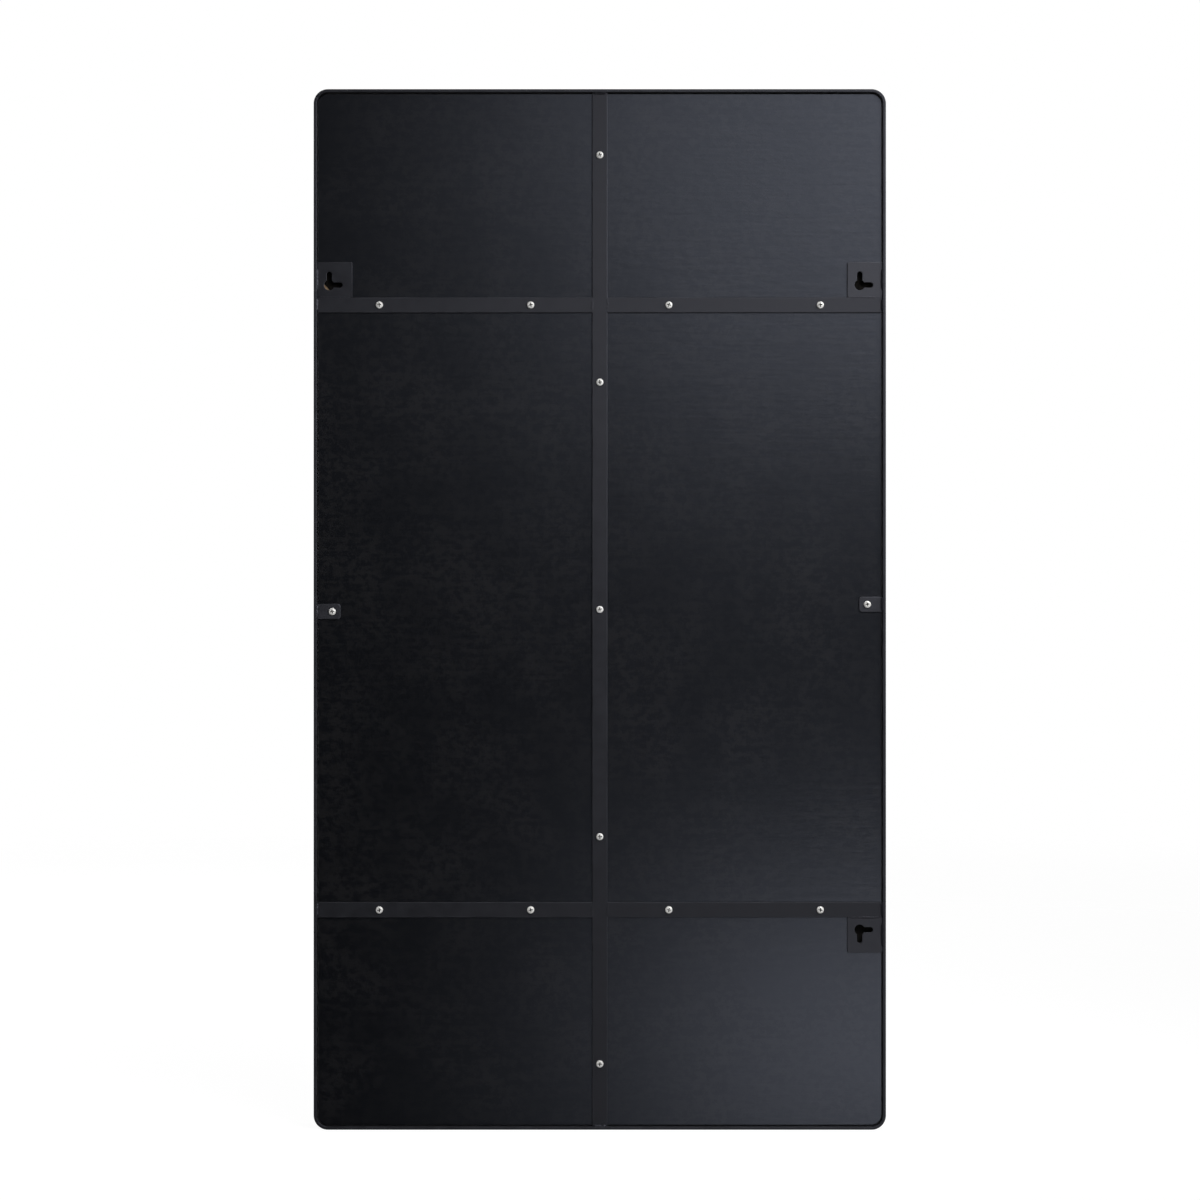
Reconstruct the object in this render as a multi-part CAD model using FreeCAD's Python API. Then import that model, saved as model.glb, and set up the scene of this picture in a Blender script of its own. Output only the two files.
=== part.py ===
"""A wall mirror in a welded steel frame, drawn in millimetres.

The glass is taped to a fibreboard back. The board is screwed from behind to flat bars and tabs that are
welded inside a band of flat steel bent on edge. Three welded plates with two-way keyholes hang the mirror
upright or on its side.

X runs across, Y out of the back towards the wall, Z up. The origin is the centre of the band's back edge,
which meets the wall. Left and right are as seen from behind, so left is towards +X.
"""
import FreeCAD, Part
import os

# Overall size
MIRROR_WIDTH = 558.8
MIRROR_HEIGHT = 1016.0
CORNER_RADIUS = 14.0

# Band, and the gaps all round between it and the board, which the film matches, and between it and the glass
BAND_THICKNESS = 3.0
BAND_EDGE_BEVEL = 0.4
BOARD_GAP = 1.0
GLASS_GAP = 0.6

# Layers from the wall to the front
SCREW_HEAD_TO_WALL = 0.6
BAR_THICKNESS = 2.0
BOARD_THICKNESS = 9.0
TAPE_THICKNESS = 1.0
FILM_THICKNESS = 0.3
GLASS_THICKNESS = 5.0
FRONT_RECESS = 4.7

# Flat bars: the cross bars are measured from the outside of the band to the middle of the bar
BAR_WIDTH = 15.0
BAR_EDGE_BEVEL = 0.4
UPPER_BAR_FROM_TOP = 210.5
LOWER_BAR_FROM_BOTTOM = 214.5

# Side tabs: each height is from the middle of the mirror up to the middle of the tab
TAB_LENGTH = 23.0
TAB_CORNER_RADIUS = 3.0
TAB_SCREW_FROM_END = 8.0
LEFT_TAB_HEIGHT = -2.0
RIGHT_TAB_HEIGHT = 5.0

# Hanger plates and their keyholes: the entry hole is set in from the bar's edge and from the left edge
HANGER_SIDE = 34.5
HANGER_CORNER_RADIUS = 1.5
KEYHOLE_INSET = 12.0
KEYHOLE_ENTRY_DIAMETER = 10.0
KEYHOLE_SLOT_WIDTH = 5.0
KEYHOLE_SLOT_TRAVEL = 10.5
POCKET_MARGIN = 1.0
POCKET_CORNER_RADIUS = 6.0
POCKET_FLOOR = 4.0

# Weld beads: the crown is measured along the bar and up the band
BEAD_BELOW_RIM = 0.8
BEAD_CROWN = 1.5
BEAD_SETBACK = 1.0
HANGER_BEAD_LENGTH = 22.0

# Screws
SCREW_DIAMETER = 3.5
SCREW_TIP_COVER = 1.5
SCREW_HEAD_DIAMETER = 7.0
SCREW_HEAD_HEIGHT = 2.4
RECESS_DIAMETER = 4.0
RECESS_ARM_WIDTH = 0.9
RECESS_DEPTH = 1.5
BAR_HOLE_CLEARANCE = 0.25
PILOT_SIDE_CLEARANCE = 0.05
PILOT_TIP_CLEARANCE = 0.3

# Screw places: the end inset is from the outside of the band, the crossing offset from the mirror's middle
VERTICAL_SCREW_COUNT = 5
END_SCREW_INSET = 64.0
CROSSING_SCREW_OFFSET = 67.5

# Tape strips and the ground edge of the glass
TAPE_WIDTH = 25.0
TAPE_COUNT = 4
TAPE_END_GAP = 60.0
GLASS_ARRIS = 1.0

PLANE_TOLERANCE = 0.01

Vector = FreeCAD.Vector
ORIGIN = Vector(0, 0, 0)
X_AXIS = Vector(1, 0, 0)
Y_AXIS = Vector(0, 1, 0)
Z_AXIS = Vector(0, 0, 1)
LEFT = 1
RIGHT = -1
ABOVE = 1
BELOW = -1

# Planes of constant Y, from the wall to the front
WALL_PLANE = 0.0
BAR_BACK = WALL_PLANE - SCREW_HEAD_TO_WALL - SCREW_HEAD_HEIGHT
BOARD_BACK = BAR_BACK - BAR_THICKNESS
TAPE_BACK = BOARD_BACK - BOARD_THICKNESS
FILM_BACK = TAPE_BACK - TAPE_THICKNESS
GLASS_BACK = FILM_BACK - FILM_THICKNESS
GLASS_FRONT = GLASS_BACK - GLASS_THICKNESS
BAND_FRONT = GLASS_FRONT - FRONT_RECESS

# Inside of the band, and the board and glass that lie in it
INNER_WIDTH = MIRROR_WIDTH - 2 * BAND_THICKNESS
INNER_HEIGHT = MIRROR_HEIGHT - 2 * BAND_THICKNESS
INNER_RADIUS = CORNER_RADIUS - BAND_THICKNESS
BOARD_WIDTH = INNER_WIDTH - 2 * BOARD_GAP
BOARD_HEIGHT = INNER_HEIGHT - 2 * BOARD_GAP
BOARD_RADIUS = INNER_RADIUS - BOARD_GAP
GLASS_WIDTH = INNER_WIDTH - 2 * GLASS_GAP
GLASS_HEIGHT = INNER_HEIGHT - 2 * GLASS_GAP
GLASS_RADIUS = INNER_RADIUS - GLASS_GAP

# Heights of the cross bars, and the lengths that follow from the layers
UPPER_BAR_Z = MIRROR_HEIGHT / 2 - UPPER_BAR_FROM_TOP
LOWER_BAR_Z = LOWER_BAR_FROM_BOTTOM - MIRROR_HEIGHT / 2
BEAD_LEG = WALL_PLANE - BEAD_BELOW_RIM - BAR_BACK
SCREW_LENGTH = BAR_THICKNESS + BOARD_THICKNESS - SCREW_TIP_COVER
POCKET_EDGE = KEYHOLE_ENTRY_DIAMETER / 2 + POCKET_MARGIN
POCKET_SIDE = KEYHOLE_SLOT_TRAVEL + 2 * POCKET_EDGE


def edges_in_plane(shape, plane):
    """The edges of a shape that lie in one plane of constant Y."""
    def reach(edge):
        return max(abs(edge.BoundBox.YMin - plane), abs(edge.BoundBox.YMax - plane))
    return [edge for edge in shape.Edges if reach(edge) < PLANE_TOLERANCE]


def edges_along_y(shape):
    """The straight edges of a shape that run from its back to its front."""
    return [edge for edge in shape.Edges if edge.BoundBox.YLength > shape.BoundBox.YLength / 2]


def flat_piece(x_start, x_end, z_start, z_end, back, front):
    """A rectangular plate between two planes of constant Y."""
    corner = Vector(min(x_start, x_end), front, min(z_start, z_end))
    return Part.makeBox(abs(x_end - x_start), back - front, abs(z_end - z_start), corner)


def rounded_panel(width, height, radius, back, front):
    """A centred plate with four rounded corners."""
    panel = flat_piece(-width / 2, width / 2, -height / 2, height / 2, back, front)
    return panel.makeFillet(radius, edges_along_y(panel))


def drilled(shape, centres, diameter, back, front):
    """A shape with a round hole along Y at each (x, z) centre."""
    for x, z in centres:
        hole = Part.makeCylinder(diameter / 2, back - front, Vector(x, front, z), Y_AXIS)
        shape = shape.cut(hole)
    return shape


def vertical_bar_screws():
    """Screw centres on the vertical bar, evenly spaced over its length."""
    reach = MIRROR_HEIGHT / 2 - END_SCREW_INSET
    pitch = 2 * reach / (VERTICAL_SCREW_COUNT - 1)
    return [(0, pitch * index - reach) for index in range(VERTICAL_SCREW_COUNT)]


def cross_bar_screws(side, bar_z):
    """Screw centres on one half of a cross bar: one by the vertical bar, one by the band."""
    outer = MIRROR_WIDTH / 2 - END_SCREW_INSET
    return [(side * CROSSING_SCREW_OFFSET, bar_z), (side * outer, bar_z)]


def tab_screw(side, tab_z):
    """The screw centre on a side tab."""
    inner_end = INNER_WIDTH / 2 - TAB_LENGTH
    return (side * (inner_end + TAB_SCREW_FROM_END), tab_z)


def with_screw_holes(shape, centres):
    """A bar or tab with its clearance holes for screws."""
    return drilled(shape, centres, SCREW_DIAMETER + 2 * BAR_HOLE_CLEARANCE, BAR_BACK, BOARD_BACK)


def make_band():
    """The band: a strip on edge, bent round four corners, with its edges eased."""
    outside = rounded_panel(MIRROR_WIDTH, MIRROR_HEIGHT, CORNER_RADIUS, WALL_PLANE, BAND_FRONT)
    inside = rounded_panel(INNER_WIDTH, INNER_HEIGHT, INNER_RADIUS, WALL_PLANE, BAND_FRONT)
    band = outside.cut(inside)
    rims = edges_in_plane(band, WALL_PLANE) + edges_in_plane(band, BAND_FRONT)
    return band.makeChamfer(BAND_EDGE_BEVEL, rims)


def rolled_bar(x_start, x_end, z_start, z_end):
    """A flat bar with the long edges of its back face eased, as rolled stock has them."""
    bar = flat_piece(x_start, x_end, z_start, z_end, BAR_BACK, BOARD_BACK)
    long_side = max(abs(x_end - x_start), abs(z_end - z_start))
    long_edges = [edge for edge in edges_in_plane(bar, BAR_BACK) if edge.Length > long_side - PLANE_TOLERANCE]
    return bar.makeChamfer(BAR_EDGE_BEVEL, long_edges)


def make_vertical_bar():
    """The bar from the top of the band to its bottom, in one piece."""
    bar = rolled_bar(-BAR_WIDTH / 2, BAR_WIDTH / 2, -INNER_HEIGHT / 2, INNER_HEIGHT / 2)
    return with_screw_holes(bar, vertical_bar_screws())


def bar_edges(bar_z):
    """The lower and upper edge of a level bar or tab."""
    return bar_z - BAR_WIDTH / 2, bar_z + BAR_WIDTH / 2


def make_cross_bar(side, bar_z):
    """Half a cross bar, from the vertical bar's edge to the band."""
    low, high = bar_edges(bar_z)
    bar = rolled_bar(side * BAR_WIDTH / 2, side * INNER_WIDTH / 2, low, high)
    return with_screw_holes(bar, cross_bar_screws(side, bar_z))


def make_tab(side, tab_z):
    """A short piece of bar on the band, with rounded corners at its free end and eased back edges."""
    wall_x = side * INNER_WIDTH / 2
    end_x = side * (INNER_WIDTH / 2 - TAB_LENGTH)
    low, high = bar_edges(tab_z)
    tab = flat_piece(wall_x, end_x, low, high, BAR_BACK, BOARD_BACK)
    free_corners = [edge for edge in edges_along_y(tab) if abs(edge.CenterOfMass.x - end_x) < PLANE_TOLERANCE]
    tab = tab.makeFillet(TAB_CORNER_RADIUS, free_corners)
    back_edges = edges_in_plane(tab, BAR_BACK)
    free_edges = [edge for edge in back_edges if abs(edge.CenterOfMass.x - wall_x) > PLANE_TOLERANCE]
    tab = tab.makeChamfer(BAR_EDGE_BEVEL, free_edges)
    return with_screw_holes(tab, [tab_screw(side, tab_z)])


def rounded_slot(centre, along, across):
    """The outline of a slot that starts square at a centre and ends in a half circle."""
    half = across * (KEYHOLE_SLOT_WIDTH / 2)
    end = centre + along * KEYHOLE_SLOT_TRAVEL
    tip = end + along * (KEYHOLE_SLOT_WIDTH / 2)
    outline = [
        Part.LineSegment(centre - half, centre + half),
        Part.LineSegment(centre + half, end + half),
        Part.Arc(end + half, tip, end - half),
        Part.LineSegment(end - half, centre - half),
    ]
    return Part.Face(Part.Wire([segment.toShape() for segment in outline]))


def two_way_keyhole(centre, away):
    """A cutter for a round entry with one slot to the right and one away from the bar."""
    cutter = Part.makeCylinder(KEYHOLE_ENTRY_DIAMETER / 2, BAR_THICKNESS, centre, Y_AXIS)
    directions = [(X_AXIS * RIGHT, Z_AXIS), (Z_AXIS * away, X_AXIS)]
    for along, across in directions:
        slot = rounded_slot(centre, along, across)
        cutter = cutter.fuse(slot.extrude(Y_AXIS * BAR_THICKNESS))
    return cutter.removeSplitter()


def hanger_seat(bar_z, away):
    """The height of the bar edge that a hanger plate is butted against."""
    return bar_z + away * BAR_WIDTH / 2


def keyhole_centre(side, bar_z, away, plane):
    """The middle of a keyhole's entry, on a plane of constant Y."""
    left_edge = INNER_WIDTH / 2 if side == LEFT else HANGER_SIDE - INNER_WIDTH / 2
    return Vector(left_edge - KEYHOLE_INSET, plane, hanger_seat(bar_z, away) + away * KEYHOLE_INSET)


def make_hanger(side, bar_z, away):
    """A hanger plate in the corner between a cross bar and the band, with its keyhole."""
    wall_x = side * INNER_WIDTH / 2
    free_x = side * (INNER_WIDTH / 2 - HANGER_SIDE)
    seat_z = hanger_seat(bar_z, away)
    free_z = seat_z + away * HANGER_SIDE
    plate = flat_piece(wall_x, free_x, seat_z, free_z, BAR_BACK, BOARD_BACK)
    corner = Vector(free_x, (BAR_BACK + BOARD_BACK) / 2, free_z)
    free_edge = min(edges_along_y(plate), key=lambda edge: (edge.CenterOfMass - corner).Length)
    plate = plate.makeFillet(HANGER_CORNER_RADIUS, [free_edge])
    centre = keyhole_centre(side, bar_z, away, BOARD_BACK)
    return plate.cut(two_way_keyhole(centre, away))


def hanger_pocket(side, bar_z, away):
    """A cutter for the pocket behind a keyhole, with room for a screw's head at every point of its travel."""
    centre = keyhole_centre(side, bar_z, away, BOARD_BACK)
    x_start = centre.x - RIGHT * POCKET_EDGE
    z_start = centre.z - away * POCKET_EDGE
    x_end = x_start + RIGHT * POCKET_SIDE
    z_end = z_start + away * POCKET_SIDE
    pocket = flat_piece(x_start, x_end, z_start, z_end, BOARD_BACK, TAPE_BACK + POCKET_FLOOR)
    return pocket.makeFillet(POCKET_CORNER_RADIUS, edges_along_y(pocket))


def weld_bead(middle, along, inward, length):
    """A weld in the corner between the band's inner wall and a back face, crowned in its middle."""
    start = middle - along * (length / 2)
    on_wall = start + Y_AXIS * BEAD_LEG
    crown = start + (Y_AXIS + inward) * BEAD_CROWN
    on_bar = start + inward * BEAD_LEG
    section = Part.Face(Part.makePolygon([start, on_wall, crown, on_bar, start]))
    return section.extrude(along * length)


def make_weld_beads(tabs, hangers):
    """The beads at the bar ends, tabs and hanger plates, as one group of solids."""
    end_length = BAR_WIDTH - 2 * BEAD_SETBACK
    beads = []
    for end in (ABOVE, BELOW):
        middle = Vector(0, BAR_BACK, end * INNER_HEIGHT / 2)
        beads.append(weld_bead(middle, X_AXIS, Z_AXIS * -end, end_length))
    side_ends = [(side, bar_z) for bar_z in (UPPER_BAR_Z, LOWER_BAR_Z) for side in (LEFT, RIGHT)]
    for side, end_z in side_ends + tabs:
        middle = Vector(side * INNER_WIDTH / 2, BAR_BACK, end_z)
        beads.append(weld_bead(middle, Z_AXIS, X_AXIS * -side, end_length))
    for side, bar_z, away in hangers:
        middle = Vector(side * INNER_WIDTH / 2, BAR_BACK, hanger_seat(bar_z, away) + away * HANGER_SIDE / 2)
        beads.append(weld_bead(middle, Z_AXIS, X_AXIS * -side, HANGER_BEAD_LENGTH))
    return Part.makeCompound(beads)


def make_screw():
    """One pan head screw with a cross recess, its head standing on the XZ plane and its end towards -Y."""
    head = Part.makeCylinder(SCREW_HEAD_DIAMETER / 2, SCREW_HEAD_HEIGHT, ORIGIN, Y_AXIS)
    shank = Part.makeCylinder(SCREW_DIAMETER / 2, SCREW_LENGTH, ORIGIN, -Y_AXIS)
    return head.fuse(shank).cut(cross_recess())


def cross_recess():
    """The cutter for a screw's driver recess: two crossed slots."""
    reach = RECESS_DIAMETER / 2
    half_arm = RECESS_ARM_WIDTH / 2
    floor = SCREW_HEAD_HEIGHT - RECESS_DEPTH
    level_arms = flat_piece(-reach, reach, -half_arm, half_arm, SCREW_HEAD_HEIGHT, floor)
    upright_arms = flat_piece(-half_arm, half_arm, -reach, reach, SCREW_HEAD_HEIGHT, floor)
    return level_arms.fuse(upright_arms)


def make_screws(centres):
    """A group of screws, each with its head on a bar's back face."""
    screw = make_screw()
    return Part.makeCompound([screw.translated(Vector(x, BAR_BACK, z)) for x, z in centres])


def make_board(screw_centres, hangers):
    """The fibreboard back, with a pilot hole for each screw and a pocket behind each keyhole."""
    board = rounded_panel(BOARD_WIDTH, BOARD_HEIGHT, BOARD_RADIUS, BOARD_BACK, TAPE_BACK)
    pilot_floor = BAR_BACK - SCREW_LENGTH - PILOT_TIP_CLEARANCE
    pilot_diameter = SCREW_DIAMETER + 2 * PILOT_SIDE_CLEARANCE
    board = drilled(board, screw_centres, pilot_diameter, BOARD_BACK, pilot_floor)
    for side, bar_z, away in hangers:
        board = board.cut(hanger_pocket(side, bar_z, away))
    return board


def make_tape():
    """Strips of double-sided tape, evenly spread across the board."""
    pitch = BOARD_WIDTH / TAPE_COUNT
    half_length = BOARD_HEIGHT / 2 - TAPE_END_GAP
    strips = []
    for index in range(TAPE_COUNT):
        start = pitch * (index + 0.5) - BOARD_WIDTH / 2 - TAPE_WIDTH / 2
        strips.append(flat_piece(start, start + TAPE_WIDTH, -half_length, half_length, TAPE_BACK, FILM_BACK))
    return Part.makeCompound(strips)


def make_film():
    """The safety film on the back of the glass, trimmed to the board."""
    return rounded_panel(BOARD_WIDTH, BOARD_HEIGHT, BOARD_RADIUS, FILM_BACK, GLASS_BACK)


def make_glass():
    """The mirror glass, with the arris ground off its front edge."""
    glass = rounded_panel(GLASS_WIDTH, GLASS_HEIGHT, GLASS_RADIUS, GLASS_BACK, GLASS_FRONT)
    return glass.makeChamfer(GLASS_ARRIS, edges_in_plane(glass, GLASS_FRONT))


def make_nodes():
    """Every piece of the mirror, by name."""
    tabs = [(LEFT, LEFT_TAB_HEIGHT), (RIGHT, RIGHT_TAB_HEIGHT)]
    hangers = [(LEFT, UPPER_BAR_Z, ABOVE), (RIGHT, UPPER_BAR_Z, ABOVE), (RIGHT, LOWER_BAR_Z, BELOW)]
    screw_groups = {
        "vertical_crossbar_screws": vertical_bar_screws(),
        "upper_crossbar_screws": cross_bar_screws(LEFT, UPPER_BAR_Z) + cross_bar_screws(RIGHT, UPPER_BAR_Z),
        "lower_crossbar_screws": cross_bar_screws(LEFT, LOWER_BAR_Z) + cross_bar_screws(RIGHT, LOWER_BAR_Z),
        "side_tab_screws": [tab_screw(side, tab_z) for side, tab_z in tabs],
    }
    screw_centres = [centre for centres in screw_groups.values() for centre in centres]
    nodes = {
        "frame_band": make_band(),
        "vertical_crossbar": make_vertical_bar(),
        "upper_left_crossbar": make_cross_bar(LEFT, UPPER_BAR_Z),
        "upper_right_crossbar": make_cross_bar(RIGHT, UPPER_BAR_Z),
        "lower_left_crossbar": make_cross_bar(LEFT, LOWER_BAR_Z),
        "lower_right_crossbar": make_cross_bar(RIGHT, LOWER_BAR_Z),
        "left_side_tab": make_tab(*tabs[0]),
        "right_side_tab": make_tab(*tabs[1]),
        "upper_left_hanger": make_hanger(*hangers[0]),
        "upper_right_hanger": make_hanger(*hangers[1]),
        "lower_right_hanger": make_hanger(*hangers[2]),
        "weld_beads": make_weld_beads(tabs, hangers),
        "backing_board": make_board(screw_centres, hangers),
        "mounting_tape": make_tape(),
        "safety_film": make_film(),
        "mirror_glass": make_glass(),
    }
    for name, centres in screw_groups.items():
        nodes[name] = make_screws(centres)
    return nodes


def main():
    os.makedirs("parts", exist_ok=True)
    for name, shape in make_nodes().items():
        shape.exportStep("parts/" + name + ".step")


if __name__ == "__main__":
    main()
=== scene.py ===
"""Looks for the wall mirror: a dressed piece for each CAD node, its finishes, and a plain studio.

Lengths are in metres, in the CAD frame: X across, Y out of the back towards the wall, Z up.
Left and right are as seen from behind, so left is towards +X.
"""

import math
import random

import bmesh
import bpy
from mathutils import Matrix, Vector, geometry, noise


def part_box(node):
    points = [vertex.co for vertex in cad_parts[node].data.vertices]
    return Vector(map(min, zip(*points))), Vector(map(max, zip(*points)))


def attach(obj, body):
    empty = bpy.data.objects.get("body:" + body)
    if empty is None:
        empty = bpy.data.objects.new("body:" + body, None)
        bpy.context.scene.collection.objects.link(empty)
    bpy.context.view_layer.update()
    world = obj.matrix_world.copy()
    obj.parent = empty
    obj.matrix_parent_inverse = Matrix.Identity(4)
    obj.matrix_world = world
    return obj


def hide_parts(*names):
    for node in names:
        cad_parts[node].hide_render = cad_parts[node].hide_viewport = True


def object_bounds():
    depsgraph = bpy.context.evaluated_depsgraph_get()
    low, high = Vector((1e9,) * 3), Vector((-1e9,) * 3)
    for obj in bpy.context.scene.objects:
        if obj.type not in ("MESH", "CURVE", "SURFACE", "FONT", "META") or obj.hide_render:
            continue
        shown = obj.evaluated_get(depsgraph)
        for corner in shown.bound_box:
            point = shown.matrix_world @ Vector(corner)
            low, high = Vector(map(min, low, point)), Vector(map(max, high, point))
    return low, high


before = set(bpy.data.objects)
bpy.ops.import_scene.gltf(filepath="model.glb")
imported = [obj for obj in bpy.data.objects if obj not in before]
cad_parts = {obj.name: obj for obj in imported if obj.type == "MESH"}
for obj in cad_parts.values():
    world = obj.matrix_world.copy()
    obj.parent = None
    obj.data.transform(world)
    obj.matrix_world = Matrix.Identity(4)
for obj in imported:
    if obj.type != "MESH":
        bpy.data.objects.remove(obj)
cad_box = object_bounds()

MM = 0.001

# Sizes that the boxes of the CAD nodes don't give
BAND_THICKNESS = 3.0 * MM
BAND_CORNER_RADIUS = 14.0 * MM
TAB_CORNER_RADIUS = 3.0 * MM
HANGER_CORNER_RADIUS = 1.5 * MM
KEYHOLE_INSET = 12.0 * MM
KEYHOLE_ENTRY_RADIUS = 5.0 * MM
KEYHOLE_SLOT_RADIUS = 2.5 * MM
KEYHOLE_SLOT_TRAVEL = 10.5 * MM
POCKET_EDGE = 6.0 * MM
POCKET_SIDE = 22.5 * MM
POCKET_CORNER_RADIUS = 6.0 * MM
POCKET_DEPTH = 5.0 * MM
GLASS_ARRIS = 1.0 * MM
BAR_HOLE_RADIUS = 2.0 * MM
PILOT_RADIUS = 1.8 * MM
PILOT_TIP_CLEARANCE = 0.3 * MM

# Eased edges: how far each is rounded, and how far wear spreads from it over the flat
BAND_EASE = 0.5 * MM
BAR_EASE = 0.45 * MM
HANGER_EASE = 0.3 * MM
BOARD_EASE = 0.25 * MM
WEAR_SPREAD = 0.9 * MM
HANGER_WEAR_SPREAD = 0.5 * MM
RIM_WEAR = 0.4
EASE_STEPS = 3
CORNER_STEPS = 14
HOLE_STEPS = 28
KEYHOLE_CORNER_STEPS = 3

# Screws: a pan head over a plain shank, with a cross recess
SCREW_HEAD_RADIUS = 3.5 * MM
SCREW_HEAD_HEIGHT = 2.4 * MM
SCREW_HEAD_SIDE = 0.75 * MM
SCREW_SHANK_RADIUS = 1.75 * MM
SCREW_SEGMENTS = 40
SCREW_RIM_EASE = 0.12 * MM
SCREW_DOME_STEPS = 8
SCREW_DOME_FLATNESS = 0.5
RECESS_REACH = 2.05 * MM
RECESS_HALF_ARM = 0.5 * MM
RECESS_FLOOR_REACH = 1.0 * MM
RECESS_FLOOR_HALF_ARM = 0.3 * MM
RECESS_DEPTH = 1.5 * MM
RECESS_TURN = math.radians(18)

# Weld beads: ripples and lumps are shares of a bead's size
RIPPLE_PITCH = 1.3 * MM
RIPPLE_HEIGHT = 0.025
RIPPLE_BOW = 1.5
BEAD_STATION = 0.3 * MM
BEAD_ARC_STEPS = 8
BEAD_END_POWER = 6
BEAD_END_SIZE = 0.01
BEAD_LUMP_SIZE = 2.2 * MM
BEAD_UNEVENNESS = 0.3

# Ground seams where a hanger plate meets its bar, and where the half bars meet the vertical bar
SEAM_STEPS = 12
SEAM_SINK = 0.06 * MM
SEAM_UNEVENNESS = 0.9
SEAM_END_POWER = 0.3
HANGER_SEAM_HALF_WIDTH = 1.7 * MM
HANGER_SEAM_END = 2.4 * MM
HANGER_SEAM_HEIGHTS = {
    "upper_left_hanger": 0.07 * MM,
    "upper_right_hanger": 0.09 * MM,
    "lower_right_hanger": 0.2 * MM,
}
CROSSING_SEAM_HALF_WIDTH = 3.0 * MM
CROSSING_SEAM_END = 0.4 * MM
CROSSING_SEAM_HEIGHT = 0.07 * MM

# Meshes: the angle from which edges are sharp, and the normal's Y under which a face is the front
SMOOTH_ANGLE = math.radians(38)
MERGE_DISTANCE = 1e-6
FRONT_NORMAL_Y = -0.5
SORT_DIGITS = 4

# Signs of directions along X and Z
RIGHT = -1
ABOVE = 1
BELOW = -1

# Groups of CAD nodes; each hanger plate stands above its bar or below it
HANGERS = {"upper_left_hanger": ABOVE, "upper_right_hanger": ABOVE, "lower_right_hanger": BELOW}
SCREW_PLACES = ("vertical_crossbar", "upper_crossbar", "lower_crossbar", "side_tab")
SCREW_GROUPS = [place + "_screws" for place in SCREW_PLACES]
HALF_BARS = [f"{level}_{side}_crossbar" for level in ("upper", "lower") for side in ("left", "right")]

# Tints of the finishes
COAT_TINT = (0.83, 0.85, 1.0)
FACING_TINT = (0.75, 0.81, 1.0)
DUST_TINT = (1.0, 0.92, 0.84)
ZINC_TINT = (1.0, 0.99, 0.96)
SILVER_TINT = (0.98, 1.0, 0.99)
FOAM_TINT = (1.0, 1.0, 0.97)

# Dark and pale colours of the mottled finishes
# The bare core's own brown, shown only where the painted light falls
BARE_CORE = ((0.2, 0.135, 0.08, 1.0), (0.32, 0.23, 0.145, 1.0))
# Near-black painted shade over the core in the pockets
PAINTED_SHADE_CORE = ((0.001, 0.001, 0.001, 1.0), (0.008, 0.006, 0.004, 1.0))
GLASS_GREEN = ((0.05, 0.14, 0.115, 1.0), (0.11, 0.25, 0.21, 1.0))
FILM_GREY = ((0.19, 0.24, 0.27, 1.0), (0.27, 0.33, 0.36, 1.0))

# The range that most of a noise lies in
NOISE_LOW = 0.3
NOISE_HIGH = 0.7

# Powder coat: grey levels of flats and rubbed edges, their variation, and the height of its orange peel
COAT_LEVEL = 0.0065
COAT_WORN_LEVEL = 0.018
COAT_MOTTLE = 0.25
COAT_ROUGHNESS = 0.48
COAT_ROUGHNESS_SPREAD = 0.04
COAT_GLOSS = 0.62
COAT_PEEL = 0.03 * MM
BROAD_PEEL_SHARE = 1.5
RUB_PATCHES = (0.42, 0.62)
LEAST_RUB = 0.15

# Board facing: grey levels without dust and in full dust, where dust starts, and the heights of bumps
FACING_GLOSS = 0.79
FACING_LEVEL = 0.0001
DUST_LEVEL = 0.0068
DUST_RANGE = (0.58, 0.67)
DUST_LINE_SHARE = 0.25
LINE_HEIGHT = 0.03 * MM
RUB_HEIGHT = 0.09 * MM

# Zinc: dull and bright grey levels on the screws, and in their recesses, where they are painted shade
ZINC_METALLIC = 0.1
ZINC_LEVELS = (0.86, 0.97)
RECESS_SHADE_LEVELS = (0.03, 0.08)

# Painted light on one keyhole's bare core: its side of the entry, its start and reach, and its ragged
# edge
LIT_SIDE = (0.77, 0.0, -0.64)
LIT_FROM = 3.4 * MM
LIT_FADE = 0.8 * MM
LIT_RAGGED = 1.2 * MM
LIT_REACH = (POCKET_SIDE, 1.2 * POCKET_SIDE)

# Camera, from the framing of the photograph
PHOTO_SIZE = 1200
PHOTO_OBJECT_HEIGHT = 1040.8
PHOTO_OBJECT_CENTRE = (599.8, 609.45)
CAMERA_DISTANCE = 3.0
CAMERA_SENSOR = 36.0

# Floor: the distances where it fades out, its level to light, and its level and glow to the camera
FLOOR_RADIUS = 4.0
FLOOR_SEGMENTS = 64
FLOOR_FADE = (0.4 * FLOOR_RADIUS, 0.95 * FLOOR_RADIUS)
FLOOR_LEVEL = 0.7
FLOOR_SEEN_LEVEL = 0.16
FLOOR_GLOW = 0.93

# Surroundings: the reflected sky from below to above, the room behind, and the Y where they change
SKY = ((0.0, 1.0), (0.4, 0.5), (0.59, 0.95), (0.95, 0.7))
SKY_EDGE = (-0.3, 0.1)
ROOM_LEVEL = 0.01
ROOM_WALL_LEVEL = 0.25
ROOM_EDGE = (0.55, 0.85)
AMBIENT_LEVEL = 0.06

# Soft lamps: place, aim, width and height, power in watts, and angle of spread in degrees
SOFTBOXES = {
    "key_softbox": ((-0.6, 0.9, 0.64), (0.28, 0.0, -0.2), (1.5, 0.69), 6.9, 100),
    "low_softbox": ((-0.69, 1.69, -0.655), (-0.3, 0.0, -0.6), (1.07, 0.3), 0.56, 70),
    "front_softbox": ((1.3, -2.4, 1.6), (0.0, 0.0, 0.0), (1.6, 1.6), 40.0, 180),
}

SEED = 22
generator = random.Random(SEED)


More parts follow.
